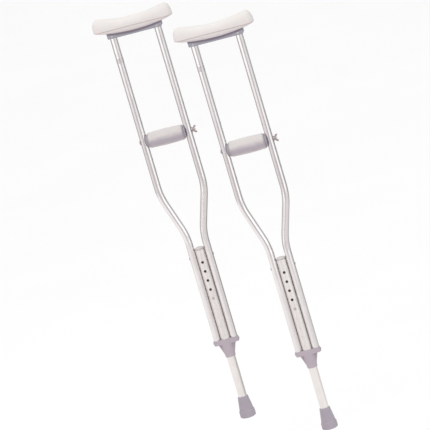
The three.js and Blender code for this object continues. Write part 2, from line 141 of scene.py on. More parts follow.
def bump(tree, shader, height, strength, distance):
    """Adds a bump on top of those the shader has already."""
    node = tree.nodes.new("ShaderNodeBump")
    node.inputs["Strength"].default_value = strength
    node.inputs["Distance"].default_value = distance
    tree.links.new(height, node.inputs["Height"])
    normal = shader.inputs["Normal"]
    if normal.is_linked:
        tree.links.new(normal.links[0].from_socket, node.inputs["Normal"])
    tree.links.new(node.outputs["Normal"], normal)


def maths(tree, operation, *values):
    """A Math node: each value is a socket or a number."""
    node = tree.nodes.new("ShaderNodeMath")
    node.operation = operation
    for slot, value in zip(node.inputs, values):
        if isinstance(value, (int, float)):
            slot.default_value = value
        else:
            tree.links.new(value, slot)
    return node.outputs[0]


def axes(tree, vector):
    """The vector's X, Y and Z sockets."""
    parts = tree.nodes.new("ShaderNodeSeparateXYZ")
    tree.links.new(vector, parts.inputs[0])
    return parts.outputs


def mixed(tree, amount, start, colour):
    """Turns a colour socket towards a colour by an amount from 0 to 1."""
    mix = tree.nodes.new("ShaderNodeMix")
    mix.data_type = "RGBA"
    factor, start_colour, end_colour = (mix.inputs[k] for k in MIX_COLOUR_INPUTS)
    tree.links.new(amount, factor)
    tree.links.new(start, start_colour)
    end_colour.default_value = (*colour, 1)
    return mix.outputs[MIX_COLOUR_OUTPUT]


def painted_shade_and_dirt(tree, shader, amount, colour):
    """Mixes the base colour towards another by an amount from 0 to 1: painted shade, and along
    the pad's seam dirt as well.
    """
    base = shader.inputs["Base Color"]
    tree.links.new(mixed(tree, amount, base.links[0].from_socket, colour), base)


def shaded(colour, factor):
    """A colour made darker or lighter."""
    return tuple(min(1.0, channel * factor) for channel in colour)


def metal(name, colour, roughness, spread, drawn=(40, 40, 1.0), depth=1e-6):
    """Metal with fine drawing marks along the tube and a roughness that wanders."""
    material, tree, shader = new_material(name, colour, roughness, 1.0)
    streaks = grain(tree, coordinates(tree, drawn), 40, 5)
    clouds = grain(tree, coordinates(tree), 35, 3)
    rough = ramp(tree, streaks, (0.3, roughness - spread), (0.7, roughness + spread))
    tree.links.new(rough, shader.inputs["Roughness"])
    tint = ramp(tree, clouds, (0.3, shaded(colour, 0.97)), (0.7, shaded(colour, 1.03)))
    tree.links.new(tint, shader.inputs["Base Color"])
    bump(tree, shader, streaks, 0.2, depth)
    return material


def moulded(name, colour, roughness, grain_scale=900, depth=4e-5, coat=0.0):
    """Moulded plastic or rubber: a fine spark-eroded grain and faint mottling."""
    material, tree, shader = new_material(name, colour, roughness)
    shader.inputs["Coat Weight"].default_value = coat
    vector = coordinates(tree)
    fine = grain(tree, vector, grain_scale, 3)
    clouds = grain(tree, vector, 28, 5)
    tint = ramp(tree, clouds, (0.32, shaded(colour, 0.95)), (0.68, shaded(colour, 1.05)))
    tree.links.new(tint, shader.inputs["Base Color"])
    rough = ramp(tree, clouds, (0.3, roughness - 0.06), (0.7, roughness + 0.06))
    tree.links.new(rough, shader.inputs["Roughness"])
    bump(tree, shader, fine, 0.35, depth)
    return material


def pad_vinyl():
    """Soft moulded skin: leather-like cells, faint mottling, and a sheen."""
    colour = (0.775, 0.745, 0.72)
    material, tree, shader = new_material("pad_skin", colour, 0.5)
    shader.inputs["Sheen Weight"].default_value = 0.1
    shader.inputs["Coat Weight"].default_value = 0.06
    shader.inputs["Coat Roughness"].default_value = 0.4
    shader.inputs["Subsurface Weight"].default_value = 0.05
    shader.inputs["Subsurface Scale"].default_value = 0.003
    vector = coordinates(tree)
    clouds = grain(tree, vector, 22, 5)
    tint = ramp(tree, clouds, (0.3, shaded(colour, 0.975)), (0.7, shaded(colour, 1.02)))
    tree.links.new(tint, shader.inputs["Base Color"])
    # Painted shade and dirt in the seam: the skin turns darker pink within a few mm of it.
    z = axes(tree, vector)["Z"]
    off_seam = maths(tree, "ABSOLUTE", maths(tree, "SUBTRACT", z, PAD_SEAM_Z * MM))
    near = ramp(tree, maths(tree, "DIVIDE", off_seam, 10 * MM), (0.04, 0.75), (0.13, 0.0))
    painted_shade_and_dirt(tree, shader, near, (0.56, 0.45, 0.46))
    cells = tree.nodes.new("ShaderNodeTexVoronoi")
    cells.feature = "DISTANCE_TO_EDGE"
    cells.inputs["Scale"].default_value = 620
    tree.links.new(vector, cells.inputs["Vector"])
    creases = ramp(tree, cells.outputs["Distance"], (0.0, 0.0), (0.12, 1.0))
    bump(tree, shader, creases, 0.2, 1e-4)
    bump(tree, shader, grain(tree, vector, 1500, 3), 0.15, 5e-5)
    rough = ramp(tree, clouds, (0.3, 0.46), (0.7, 0.56))
    tree.links.new(rough, shader.inputs["Roughness"])
    return material


def bracket_skin():
    """Moulded grey plastic, with painted shade in the crease along the pad's belly, where the pad
    overhangs it.
    """
    material = moulded("bracket_plastic", (0.35, 0.35, 0.40), 0.42, coat=0.1)
    tree = material.node_tree
    place = axes(tree, coordinates(tree))
    x, z = place["X"], place["Z"]
    out = maths(tree, "DIVIDE", x, PAD_BELLY_HALF * MM)
    square = maths(tree, "MULTIPLY", out, out)
    belly = maths(tree, "MULTIPLY_ADD", square, PAD_BELLY_RISE * MM, PAD_BELLY_Z * MM)
    below = maths(tree, "SUBTRACT", belly, z)
    # Painted shade under the pad's overhang: darkest just below the belly line, gone about 3 mm
    # lower.
    crease = ramp(tree, maths(tree, "DIVIDE", below, 10 * MM), (0.08, 0.75), (0.3, 0.0))
    painted_shade_and_dirt(tree, tree.nodes["Principled BSDF"], crease, (0.16, 0.115, 0.165))
    return material


def foam():
    """Closed-cell foam: open pores in the cut skin, soft mottling, and a painted shade band round
    its lower half.
    """
    colour = (0.67, 0.635, 0.62)
    material, tree, shader = new_material("foam_skin", colour, 0.85)
    shader.inputs["Sheen Weight"].default_value = 0.2
    shader.inputs["Sheen Roughness"].default_value = 0.6
    vector = coordinates(tree)
    pores = tree.nodes.new("ShaderNodeTexVoronoi")
    pores.inputs["Scale"].default_value = 900
    tree.links.new(vector, pores.inputs["Vector"])
    pits = ramp(tree, pores.outputs["Distance"], (0.1, 0.0), (0.5, 1.0))
    clouds = grain(tree, vector, 120, 4)
    tint = ramp(tree, clouds, (0.3, shaded(colour, 0.965)), (0.7, shaded(colour, 1.03)))
    tree.links.new(tint, shader.inputs["Base Color"])
    # Painted shade: a darker band round the grip below the middle, darkest a quarter to two
    # fifths of the way up, with patchy edges.
    z = axes(tree, vector)["Z"]
    patchy = maths(tree, "MULTIPLY_ADD", grain(tree, vector, 30, 3), 8 * MM, -4 * MM)
    under = maths(tree, "SUBTRACT", maths(tree, "ADD", z, patchy), (GRIP_Z - FOAM_R) * MM)
    height = maths(tree, "DIVIDE", under, 2 * FOAM_R * MM)
    painted_shade_band = ramp(tree, height, (0.06, 0.0), (0.22, 0.75), (0.42, 0.85), (0.7, 0.0))
    painted_shade_and_dirt(tree, shader, painted_shade_band, (0.42, 0.38, 0.435))
    bump(tree, shader, pits, 0.35, 1.2e-4)
    bump(tree, shader, grain(tree, vector, 220, 4), 0.15, 1.2e-4)
    return material


FINISHES = {
    "polished_rail": metal("polished_aluminium", (0.80, 0.785, 0.785), 0.15, 0.02),
    "satin_tube": metal("satin_aluminium", (0.83, 0.80, 0.79), 0.48, 0.03),
    "satin_leg": metal("satin_leg_aluminium", (0.885, 0.86, 0.84), 0.46, 0.03),
    "cap_plastic": moulded("cap_plastic", (0.62, 0.58, 0.57), 0.5),
    "bracket_plastic": bracket_skin(),
    "pad_vinyl": pad_vinyl(),
    "yoke_plastic": moulded("yoke_plastic", (0.49, 0.43, 0.48), 0.5, coat=0.06),
    "rivet_metal": metal("rivet_metal", (0.55, 0.54, 0.56), 0.35, 0.05, (20, 20, 20)),
    "blank_band": metal("blank_band", (0.70, 0.68, 0.68), 0.3, 0.03, (20, 20, 20)),
    "grip_plastic": moulded("grip_plastic", (0.50, 0.46, 0.48), 0.5),
    "grip_foam": foam(),
    "washer_plastic": moulded("washer_plastic", (0.37, 0.345, 0.395), 0.45),
    "bolt_steel": metal("bolt_steel", (0.68, 0.66, 0.67), 0.28, 0.06, (20, 20, 20)),
    "nut_bronze": metal("nut_bronze", (0.48, 0.40, 0.40), 0.42, 0.06, (15, 15, 15), 1e-5),
    "tip_rubber": moulded("tip_rubber", (0.41, 0.37, 0.425), 0.72, 700, 8e-5),
    "spring_steel": metal("spring_steel", (0.50, 0.50, 0.53), 0.3, 0.06),
    # Darkened and browned so that the button stands in for the shadow line round it: painted
    # shade.
    "button_metal": metal("button_metal", (0.60, 0.53, 0.47), 0.3, 0.05, (20, 20, 20)),
}


# --- Mesh building ---

STRAIGHT = 0.985  # the cosine past which a corner stays as it is
MOST_SETBACK = 0.48  # of the shorter side beside a rounded corner


def mesh_piece(name, points, faces, sharp_deg=35):
    """An object from points in metres and faces, smooth but for its sharp edges."""
    mesh = bpy.data.meshes.new(name)
    mesh.from_pydata([tuple(map(float, p)) for p in points], [], faces)
    piece = bpy.data.objects.new(name, mesh)
    bpy.context.collection.objects.link(piece)
    tidy_mesh(piece, sharp_deg)
    return piece


def tidy_mesh(piece, sharp_deg=35):
    """Merges doubles, turns faces outward and smooths all but sharp edges."""
    mesh = piece.data
    work = bmesh.new()
    work.from_mesh(mesh)
    bmesh.ops.remove_doubles(work, verts=work.verts, dist=1e-6)
    bmesh.ops.dissolve_degenerate(work, edges=work.edges, dist=1e-7)
    bmesh.ops.recalc_face_normals(work, faces=work.faces)
    work.to_mesh(mesh)
    work.free()
    mesh.shade_smooth()
    mesh.set_sharp_from_angle(angle=math.radians(sharp_deg))
    mesh.update()


def ring_grid(rings, closed_profile=False):
    """Faces that join successive rings of equal length."""
    count, around = len(rings), len(rings[0])
    faces = []
    for i in range(count if closed_profile else count - 1):
        following = (i + 1) % count
        for k in range(around):
            beside = (k + 1) % around
            low, high = i * around, following * around
            faces.append((low + k, low + beside, high + beside, high + k))
    return faces


def rounded(profile, radius, steps=5):
    """A profile of (radius, height) pairs with the corners between its ends rounded."""
    points = [np.array(p, float) for p in profile]
    out = [points[0]]
    for before, corner, after in zip(points, points[1:], points[2:]):
        into, away = before - corner, after - corner
        reach = min(np.linalg.norm(into), np.linalg.norm(away))
        cosine = into @ away / (np.linalg.norm(into) * np.linalg.norm(away))
        if abs(cosine) > STRAIGHT:
            out.append(corner)
            continue
        half = math.acos(cosine) / 2
        setback = min(radius / math.tan(half), reach * MOST_SETBACK)
        start = corner + into / np.linalg.norm(into) * setback
        end = corner + away / np.linalg.norm(away) * setback
        for i in range(steps + 1):
            t = i / steps
            out.append((1 - t) ** 2 * start + 2 * t * (1 - t) * corner + t * t * end)
    out.append(points[-1])
    return out


def turned(name, profile, axis="Z", at=(0, 0, 0), sides=FINE, soften=0.0):
    """A profile of (radius, height) pairs in mm, turned about an axis through a point."""
    if soften:
        profile = rounded(profile, soften)
    closed = np.allclose(profile[0], profile[-1])
    if closed:
        profile = profile[:-1]
    turn = {
        "Z": Matrix.Identity(3),
        "X": Matrix.Rotation(math.pi / 2, 3, "Y"),
        "-X": Matrix.Rotation(-math.pi / 2, 3, "Y"),
        "-Y": Matrix.Rotation(math.pi / 2, 3, "X"),
    }[axis]
    rings = []
    for radius, height in profile:
        angles = np.arange(sides) * 2 * math.pi / sides
        ring = [(radius * math.cos(a), radius * math.sin(a), height) for a in angles]
        rings.append([turn @ Vector(p) + Vector(at) for p in ring])
    points = [np.array(p) * MM for ring in rings for p in ring]
    return mesh_piece(name, points, ring_grid(rings, closed))


def apply_modifiers(piece):
    """Turns the modified shape into the piece's own mesh."""
    graph = bpy.context.evaluated_depsgraph_get()
    made = bpy.data.meshes.new_from_object(piece.evaluated_get(graph))
    piece.modifiers.clear()
    old, piece.data = piece.data, made
    bpy.data.meshes.remove(old)


def boolean(piece, tools, operation="DIFFERENCE", sharp_deg=35):
    """Cuts or joins whole objects, which are used up."""
    for tool in tools:
        modifier = piece.modifiers.new("join", "BOOLEAN")
        modifier.operation = operation
        modifier.solver = "EXACT"
        modifier.object = tool
    apply_modifiers(piece)
    for tool in tools:
        bpy.data.objects.remove(tool)
    tidy_mesh(piece, sharp_deg)


def drill(axis, at, radius, low, high, sides=ROUGH):
    """A round cutter along an axis, from low to high on it."""
    profile = [(0, low), (radius, low), (radius, high), (0, high)]
    return turned("drill", profile, axis, at, sides)


def softened(piece, voxel_mm, passes):
    """Remeshes a joined piece and smooths it, so that its corners become fillets."""
    remesh = piece.modifiers.new("remesh", "REMESH")
    remesh.mode = "VOXEL"
    remesh.voxel_size = voxel_mm * MM
    smooth = piece.modifiers.new("smooth", "SMOOTH")
    smooth.factor = 0.5
    smooth.iterations = passes
    apply_modifiers(piece)
    tidy_mesh(piece, 60)


def finish_piece(piece, slot, body, *nodes, fill=None, bends=None):
    """One copy for each crutch: the slot's material, its body, and the CAD nodes it stands for,
    which are hidden.

    fill is not used. bends is (body, start, end); when it is given, the copies are left on no
    body, with their place built into the mesh.
    """
    material = FINISHES[slot]
    name, mesh = piece.name, piece.data
    bpy.data.objects.remove(piece)
    mesh.materials.clear()
    mesh.materials.append(material)
    for label, origin in ORIGIN.items():
        copied = bpy.data.objects.new(f"{name}_{label}", mesh.copy())
        copied.location = origin
        bpy.context.collection.objects.link(copied)
        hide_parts(*[f"{node}_{label}" for node in nodes])
        if bends is None:
            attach(copied, f"{body}_{label}")
        else:
            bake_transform(copied)
    bpy.data.meshes.remove(mesh)


# --- Side rails ---

BEND_STATIONS = 15
BAND_CLEARANCE, BAND_THICKNESS = 0.12, 0.18


def rail_route(low_z, high_z):
    """(x, z, lean) along a rail: straight, a bend out, straight, a bend back, straight."""
    slope = math.atan2(RAIL_HIGH_X - RAIL_LOW_X, HIGH_BEND_Z - LOW_BEND_Z)
    reach = BEND_R * math.tan(slope / 2)
    route = [(RAIL_LOW_X, low_z, 0.0)]

    def bend(start_x, start_z, start, end):
        turn = math.copysign(1, end - start)
        for lean in np.linspace(start, end, BEND_STATIONS):
            x = start_x + turn * BEND_R * (math.cos(start) - math.cos(lean))
            z = start_z + turn * BEND_R * (math.sin(lean) - math.sin(start))
            route.append((x, z, lean))

    bend(RAIL_LOW_X, LOW_BEND_Z - reach, 0.0, slope)
    upper_x = RAIL_HIGH_X - reach * math.sin(slope)
    bend(upper_x, HIGH_BEND_Z - reach * math.cos(slope), slope, 0.0)
    route.append((RAIL_HIGH_X, high_z, 0.0))
    return route


def rail(name, side):
    """A bent tube with its bolt and rivet holes: side is -1 for the left one, 1 for the right."""
    route = rail_route(*span_mm(name, "Z"))
    rings = []
    for radius, stations in ((RAIL_R, route), (RAIL_R - RAIL_WALL, route[::-1])):
        for x, z, lean in stations:
            ring = []
            for k in range(FINE):
                angle = 2 * math.pi * k / FINE
                off = radius * math.cos(angle)
                across = side * (x + off * math.cos(lean))
                ring.append((across, radius * math.sin(angle), z - off * math.sin(lean)))
            rings.append(ring)
    points = [np.array(p) * MM for ring in rings for p in ring]
    tube = mesh_piece(name, points, ring_grid(rings, True))
    holes = []
    reach = 2 * RAIL_R
    for step in range(-GRIP_STEPS, GRIP_STEPS + 1):
        at = (side * RAIL_HIGH_X, 0, GRIP_Z + step * HOLE_PITCH)
        holes.append(drill("X", at, BOLT_R + GAP, -reach, reach))
    at = (side * RAIL_LOW_X, 0, FRAME_RIVET_Z)
    holes.append(drill("X", at, RIVET_R + GAP, -reach, reach))
    outer = (0, reach) if side > 0 else (-reach, 0)
    at = (side * RAIL_LOW_X, 0, YOKE_RIVET_Z)
    holes.append(drill("X", at, RIVET_R + GAP, *outer))
    at = (side * RAIL_HIGH_X, 0, BRACKET_RIVET_Z)
    holes.append(drill("-Y", at, RIVET_R + GAP, -reach, reach))
    boolean(tube, holes)
    finish_piece(tube, "polished_rail", "frame", name)


def label_band():
    """A blank foil band round the left rail."""
    low, high = span_mm("label_band", "Z")
    inner = RAIL_R + BAND_CLEARANCE
    outer = inner + BAND_THICKNESS
    profile = [(inner, low), (outer, low), (outer, high), (inner, high), (inner, low)]
    band = turned("label_band", profile, at=(-RAIL_HIGH_X, 0, 0))
    finish_piece(band, "blank_band", "frame", "label_band")


# --- Height adjustment ---

TUBE_CHAMFER = 0.35
CAP_HEAD, CAP_GROOVE, CAP_GROOVE_DEPTH, CAP_DOME = 6.0, 0.8, 1.0, 2.0
CAP_CROWN_R = CENTRE_R - 4.5
BUTTON_FLANGE_R, BUTTON_BACK, BUTTON_FLANGE = 4.6, 8.6, 1.0
BUTTON_STANDS, BUTTON_DOME = 3.0, 2.0
SPRING_ABOVE, SPRING_BELOW = 6.0, 30.0  # the limbs' ends, from the button's axis
SPRING_CENTRE = 7.85  # from the leg's axis to the middle of each limb
SPRING_HALF_W, SPRING_HALF_T, SPRING_CHAMFER = 3.5, 0.35, 0.15
SPRING_BEND = (-9.65, 4.2)  # (y, z) of the line from the front limb's foot that is passed on as the bend


def straight_tube(name, outer, wall):
    """A round tube with small outer chamfers."""
    low, high = span_mm(name, "Z")
    inner, edge = outer - wall, TUBE_CHAMFER
    profile = [
        (inner, low),
        (outer - edge, low),
        (outer, low + edge),
        (outer, high - edge),
        (outer - edge, high),
        (inner, high),
        (inner, low),
    ]
    return turned(name, profile)


def centre_tube():
    tube = straight_tube("centre_tube", CENTRE_R, CENTRE_WALL)
    holes = []
    for step in range(-LEG_STEPS, LEG_STEPS + 1):
        at = (0, 0, BUTTON_Z + step * HOLE_PITCH)
        holes.append(drill("-Y", at, BUTTON_R + GAP, 0, 2 * CENTRE_R))
    at = (0, 0, FRAME_RIVET_Z)
    holes.append(drill("X", at, RIVET_R + GAP, -2 * CENTRE_R, 2 * CENTRE_R))
    boolean(tube, holes)
    finish_piece(tube, "satin_tube", "frame", "centre_tube")


def leg_tube():
    tube = straight_tube("leg_tube", LEG_R, LEG_WALL)
    at = (0, 0, BUTTON_Z)
    boolean(tube, [drill("-Y", at, BUTTON_R + GAP, 0, 2 * LEG_R)])
    finish_piece(tube, "satin_leg", "leg", "leg_tube")


def centre_cap():
    """A plug in the centre tube with a domed head and a groove under it."""
    low, high = span_mm("centre_tube_cap", "Z")
    plug = CENTRE_R - CENTRE_WALL - GAP
    seat = high - CAP_HEAD
    profile = [
        (0, low),
        (plug, low),
        (plug, seat),
        (CENTRE_R - CAP_GROOVE_DEPTH, seat),
        (CENTRE_R - CAP_GROOVE_DEPTH, seat + CAP_GROOVE),
        (CENTRE_R, seat + CAP_GROOVE),
        (CENTRE_R, high - CAP_DOME),
        (CAP_CROWN_R, high),
        (0, high),
    ]
    cap = turned("centre_tube_cap", profile, soften=1.2)
    finish_piece(cap, "cap_plastic", "frame", "centre_tube_cap")


def snap_button():
    """A domed button with a flange behind it, which bears on the leg's wall."""
    end = CENTRE_R + BUTTON_STANDS
    flange_front = BUTTON_BACK + BUTTON_FLANGE
    profile = [(0, BUTTON_BACK), (BUTTON_FLANGE_R, BUTTON_BACK)]
    profile += [(BUTTON_FLANGE_R, flange_front), (BUTTON_R, flange_front)]
    for t in np.linspace(0, 1.5, 9):
        height = end - BUTTON_DOME + BUTTON_DOME * math.sin(t)
        profile.append((BUTTON_R * math.cos(t), height))
    profile.append((0, end))
    button = turned("snap_button", profile, "-Y", (0, 0, BUTTON_Z), COARSE)
    finish_piece(button, "button_metal", "button", "snap_button")


def snap_spring():
    """A strip bent into a U."""
    high, low = BUTTON_Z + SPRING_ABOVE, BUTTON_Z - SPRING_BELOW
    up, turn = np.linspace(low, high, 15), np.linspace(0, math.pi, 17)
    route = [(SPRING_CENTRE, z) for z in up[::-1]]
    for t in turn[1:-1]:
        route.append((SPRING_CENTRE * math.cos(t), low - SPRING_CENTRE * math.sin(t)))
    route += [(-SPRING_CENTRE, z) for z in up]
    wide, thick, edge = SPRING_HALF_W, SPRING_HALF_T, SPRING_CHAMFER
    quarter = [(wide - edge, thick), (wide, thick - edge)]
    half = quarter + [(w, -t) for w, t in quarter[::-1]]
    section = half + [(-w, -t) for w, t in half]
    along = np.gradient(np.array(route), axis=0)
    points = []
    for (y, z), (dy, dz) in zip(route, along):
        size = math.hypot(dy, dz)
        for w, t in section:
            points.append(np.array((w, y + t * dz / size, z - t * dy / size)) * MM)
    around = len(section)
    rings = [points[i : i + around] for i in range(0, len(points), around)]
    ends = [tuple(range(around)), tuple(range(len(points) - around, len(points)))]
    spring = mesh_piece("snap_spring", points, ring_grid(rings) + ends)
    # The back limb and the turn lie behind this line's start.
    start = (0, -SPRING_CENTRE, low)
    end = (0, start[1] + SPRING_BEND[0], low + SPRING_BEND[1])
    finish_piece(spring, "spring_steel", "leg", "snap_spring", bends=("button", start, end))


# --- Yoke and foot ---

PLATE_HEIGHT, PLATE_MIDDLE_R = 14.5, 16.4
COLLAR_LOW_R, COLLAR_HIGH_R, COLLAR_DROP = 14.6, 18.0, 4.0
WEB_LOW_X, WEB_HIGH_X, WEB_HALF_T = 13.6, 26.0, 2.5
RAIL_SEAT_Z, CENTRE_SEAT_Z = 229.7, 228.7
GUIDE_R, GUIDE_SEAT_Z = 14.5, 204.7
YOKE_VOXEL, YOKE_PASSES = 0.55, 4
TREAD_RINGS, TREAD_DEPTH = (4, 7.5, 11, 14.5), 1.2
TIP_OUTLINE = (
    (19, 0),
    (22.7, 2.5),
    (23, 4.5),
    (22.9, 19.5),
    (21.9, 21.2),
    (20.6, 21.6),
    (20.8, 22.8),
)
TIP_NECK_R, TIP_MOUTH_R, TIP_LIP, TIP_FLOOR = 15.4, 14.6, 2.2, 5.7


def stadium(half_x, end_r, middle_r, steps=16):
    """The plate's outline: round ends, and a fuller middle round the centre tube."""
    points = []
    for i in range(steps + 1):
        angle = -math.pi / 2 + math.pi * i / steps
        points.append((half_x + end_r * math.cos(angle), end_r * math.sin(angle)))
    for i in range(1, steps):
        x = half_x * (1 - 2 * i / steps)
        swell = math.cos(math.pi / 2 * x / half_x) ** 2
        points.append((x, end_r + (middle_r - end_r) * swell))
    right = points[: steps + 1]
    back = points[steps + 1 :]
    left = [(-x, -y) for x, y in right]
    front = [(-x, -y) for x, y in back]
    return right + back + left + front


def prism(name, outline, low, high, plane="XY"):
    """A flat outline in mm, extruded from low to high across its plane."""
    count = len(outline)
    points = []
    for level in (low, high):
        for u, v in outline:
            place = (u, v, level) if plane == "XY" else (u, level, v)
            points.append(np.array(place) * MM)
    faces = [(k, (k + 1) % count, count + (k + 1) % count, count + k) for k in range(count)]
    faces += [tuple(range(count))[::-1], tuple(range(count, 2 * count))]
    return mesh_piece(name, points, faces)


def yoke():
    """The plate that holds the rails and the centre tube, and its collar round the leg."""
    bottom, top = span_mm("yoke", "Z")
    plate_low = top - PLATE_HEIGHT
    body = prism("yoke", stadium(RAIL_LOW_X, PLATE_END_R, PLATE_MIDDLE_R), plate_low, top)
    collar_top = top - COLLAR_DROP
    profile = [(0, bottom), (COLLAR_LOW_R, bottom), (COLLAR_HIGH_R, plate_low)]
    profile += [(COLLAR_HIGH_R, collar_top), (0, collar_top)]
    collar = turned("collar", profile)
    web_low, web_high = bottom + 4, plate_low + 1
    web = [(-WEB_LOW_X, web_low), (WEB_LOW_X, web_low)]
    web += [(WEB_HIGH_X, web_high), (-WEB_HIGH_X, web_high)]
    gussets = prism("gussets", web, -WEB_HALF_T, WEB_HALF_T, plane="XZ")
    boolean(body, [collar, gussets], "UNION")
    softened(body, YOKE_VOXEL, YOKE_PASSES)
    past_top, past_wall = top + 20, 20
    holes = []
    for side in (-1, 1):
        at = (side * RAIL_LOW_X, 0, 0)
        holes.append(drill("Z", at, RAIL_R + GAP, RAIL_SEAT_Z, past_top, FINE))
        outer = (0, past_wall) if side > 0 else (-past_wall, 0)
        at = (side * RAIL_LOW_X, 0, YOKE_RIVET_Z)
        holes.append(drill("X", at, RIVET_R + GAP, *outer))
    for radius, start in (
        (CENTRE_R + GAP, CENTRE_SEAT_Z),
        (GUIDE_R, GUIDE_SEAT_Z),
        (LEG_R + GAP, bottom - 5),
    ):
        holes.append(drill("Z", (0, 0, 0), radius, start, past_top, FINE))
    boolean(body, holes, sharp_deg=40)
    finish_piece(body, "yoke_plastic", "frame", "yoke")


def rubber_tip():
    """A cup with a stepped base ring and round grooves in its tread."""
    top = span_mm("rubber_tip", "Z")[1]
    tread = []
    for radius in TREAD_RINGS:
        tread += [(radius, 0), (radius + 0.5, TREAD_DEPTH)]
        tread += [(radius + 1.2, TREAD_DEPTH), (radius + 1.7, 0)]
    profile = [
        (0, 0),
        *tread,
        *TIP_OUTLINE,
        (TIP_NECK_R, top - TIP_LIP),
        (TIP_MOUTH_R, top),
        (LEG_R + GAP, top),
        (LEG_R + GAP, TIP_FLOOR),
        (0, TIP_FLOOR),
    ]
    tip = turned("rubber_tip", profile, soften=0.6, sides=FINEST)
    finish_piece(tip, "tip_rubber", "leg", "rubber_tip")


# --- Underarm pad and bracket ---

BRACKET_HALF_W, BRACKET_CORNER = 15.4, 2.0
BRACKET_TOP_MIDDLE, BRACKET_TOP_END = 1197.0, 1203.0
BRACKET_BEVEL = 1.1
SOCKET_FROM_Z, SOCKET_TO_Z = 1160.0, 1197.3
POCKET_HALF_W = BRACKET_HALF_W + GAP
PAD_STATIONS = 180
PAD_HALF_W, PAD_NOSE, PAD_NOSE_TAPER = 24.8, 26.0, 5
PAD_DIP, PAD_DIP_INSET = 15.0, 9
SEAM_DEPTH, SEAM_HALF_W, SEAM_FADE_W, LIP_INSET = 1.4, 0.7, 12, 0.9
PAD_END_SHARE = 0.9997  # of the half length, where the last ring still has some width
PAD_SWELL, PAD_SWELL_LENGTH, PAD_INSET = 0.3, 38.0, 0.1
HEART_SHARE, HEART_RISE = 0.9, 5  # the line inside the pad that it swells away from
# The powers of the pad's curves: the nose from the front and above, and the cross-section.
CROWN_NOSE, BELLY_NOSE, SIDE_NOSE = (2.3, 2.3), (3.2, 3.2), (3.4, 2.2)
CROWN_CURVE, BELLY_CURVE = (2.35, 2.35), (2.1, 2.1)


def sag(x, half, middle, end):
    """A parabola: middle at 0, end at half."""
    return middle + (end - middle) * (x / half) ** 2


def curve(t, powers):
    """From 1 at t = 0 down to 0 at t = 1, like a quarter of an oval."""
    inner, outer = powers
    return max(0.0, 1 - t**inner) ** (1 / outer)


def bracket_outline(grow):
    """The bracket seen from the front, grown on every side."""
    half = span_mm("saddle_bracket", "X")[1] + grow
    bottom = span_mm("saddle_bracket", "Z")[0] - grow
    corner = bottom + BRACKET_CORNER
    outline = [(half - BRACKET_CORNER, bottom), (half, corner)]
    for x in np.linspace(half, -half, 41):
        outline.append((x, sag(x, half, BRACKET_TOP_MIDDLE, BRACKET_TOP_END) + grow))
    return outline + [(-half, corner), (BRACKET_CORNER - half, bottom)]


def bracket():
    """The block under the pad that takes both rails."""
    body = prism("saddle_bracket", bracket_outline(0), -BRACKET_HALF_W, BRACKET_HALF_W, "XZ")
    edges = body.modifiers.new("edges", "BEVEL")
    edges.width = BRACKET_BEVEL * MM
    edges.segments = 4
    edges.limit_method = "ANGLE"
    edges.angle_limit = math.radians(30)
    apply_modifiers(body)
    holes = []
    for side in (-1, 1):
        at = (side * RAIL_HIGH_X, 0, 0)
        holes.append(drill("Z", at, RAIL_R + GAP, SOCKET_FROM_Z, SOCKET_TO_Z, FINE))
        at = (side * RAIL_HIGH_X, 0, BRACKET_RIVET_Z)
        reach = 2 * BRACKET_HALF_W
        holes.append(drill("-Y", at, RIVET_R + GAP, -reach, reach))
    boolean(body, holes)
    finish_piece(body, "bracket_plastic", "frame", "saddle_bracket")


def pad_levels():
    """Heights round half a section as shares of its height, closest together at the seam."""
    close = [0, 0.006, 0.012, 0.02, 0.028, 0.038, 0.05, 0.065, 0.085, 0.11]
    return close + [0.11 + 0.89 * math.sin(t) for t in np.linspace(0.08, math.pi / 2, 22)]


def pad_section(x, half, low, high):
    """One ring of the pad at x: wide at the seam, crowned above it and bellied below."""
    over = max(0.0, abs(x) - (half - PAD_NOSE)) / PAD_NOSE
    width = (PAD_HALF_W - PAD_NOSE_TAPER * over**2) * curve(over, SIDE_NOSE)
    seam = min(1, width / SEAM_FADE_W)
    top = sag(x, half - PAD_DIP_INSET, high - PAD_DIP, high)
    crown = min((top - PAD_SEAM_Z) * curve(over, CROWN_NOSE), high - PAD_SEAM_Z)
    bottom = sag(x, PAD_BELLY_HALF, low, low + PAD_BELLY_RISE)
    belly = (PAD_SEAM_Z - bottom) * curve(over, BELLY_NOSE)
    right = []
    for rise, height, powers in ((1, crown, CROWN_CURVE), (-1, belly, BELLY_CURVE)):
        side = []
        for level in pad_levels():
            drop = level * height
            y = width * curve(level, powers)
            y -= SEAM_DEPTH * math.exp(-((drop / SEAM_HALF_W) ** 2)) * seam
            if rise < 0:
                y -= LIP_INSET * seam * (1 - level**4)
            side.append((max(y, 0.0), PAD_SEAM_Z + rise * drop))
        right.append(side)
    up, down = right
    half_ring = up[::-1] + down[1:]
    ring = [(x, y, z) for y, z in half_ring]
    return ring + [(x, -y, z) for y, z in half_ring[-2:0:-1]]


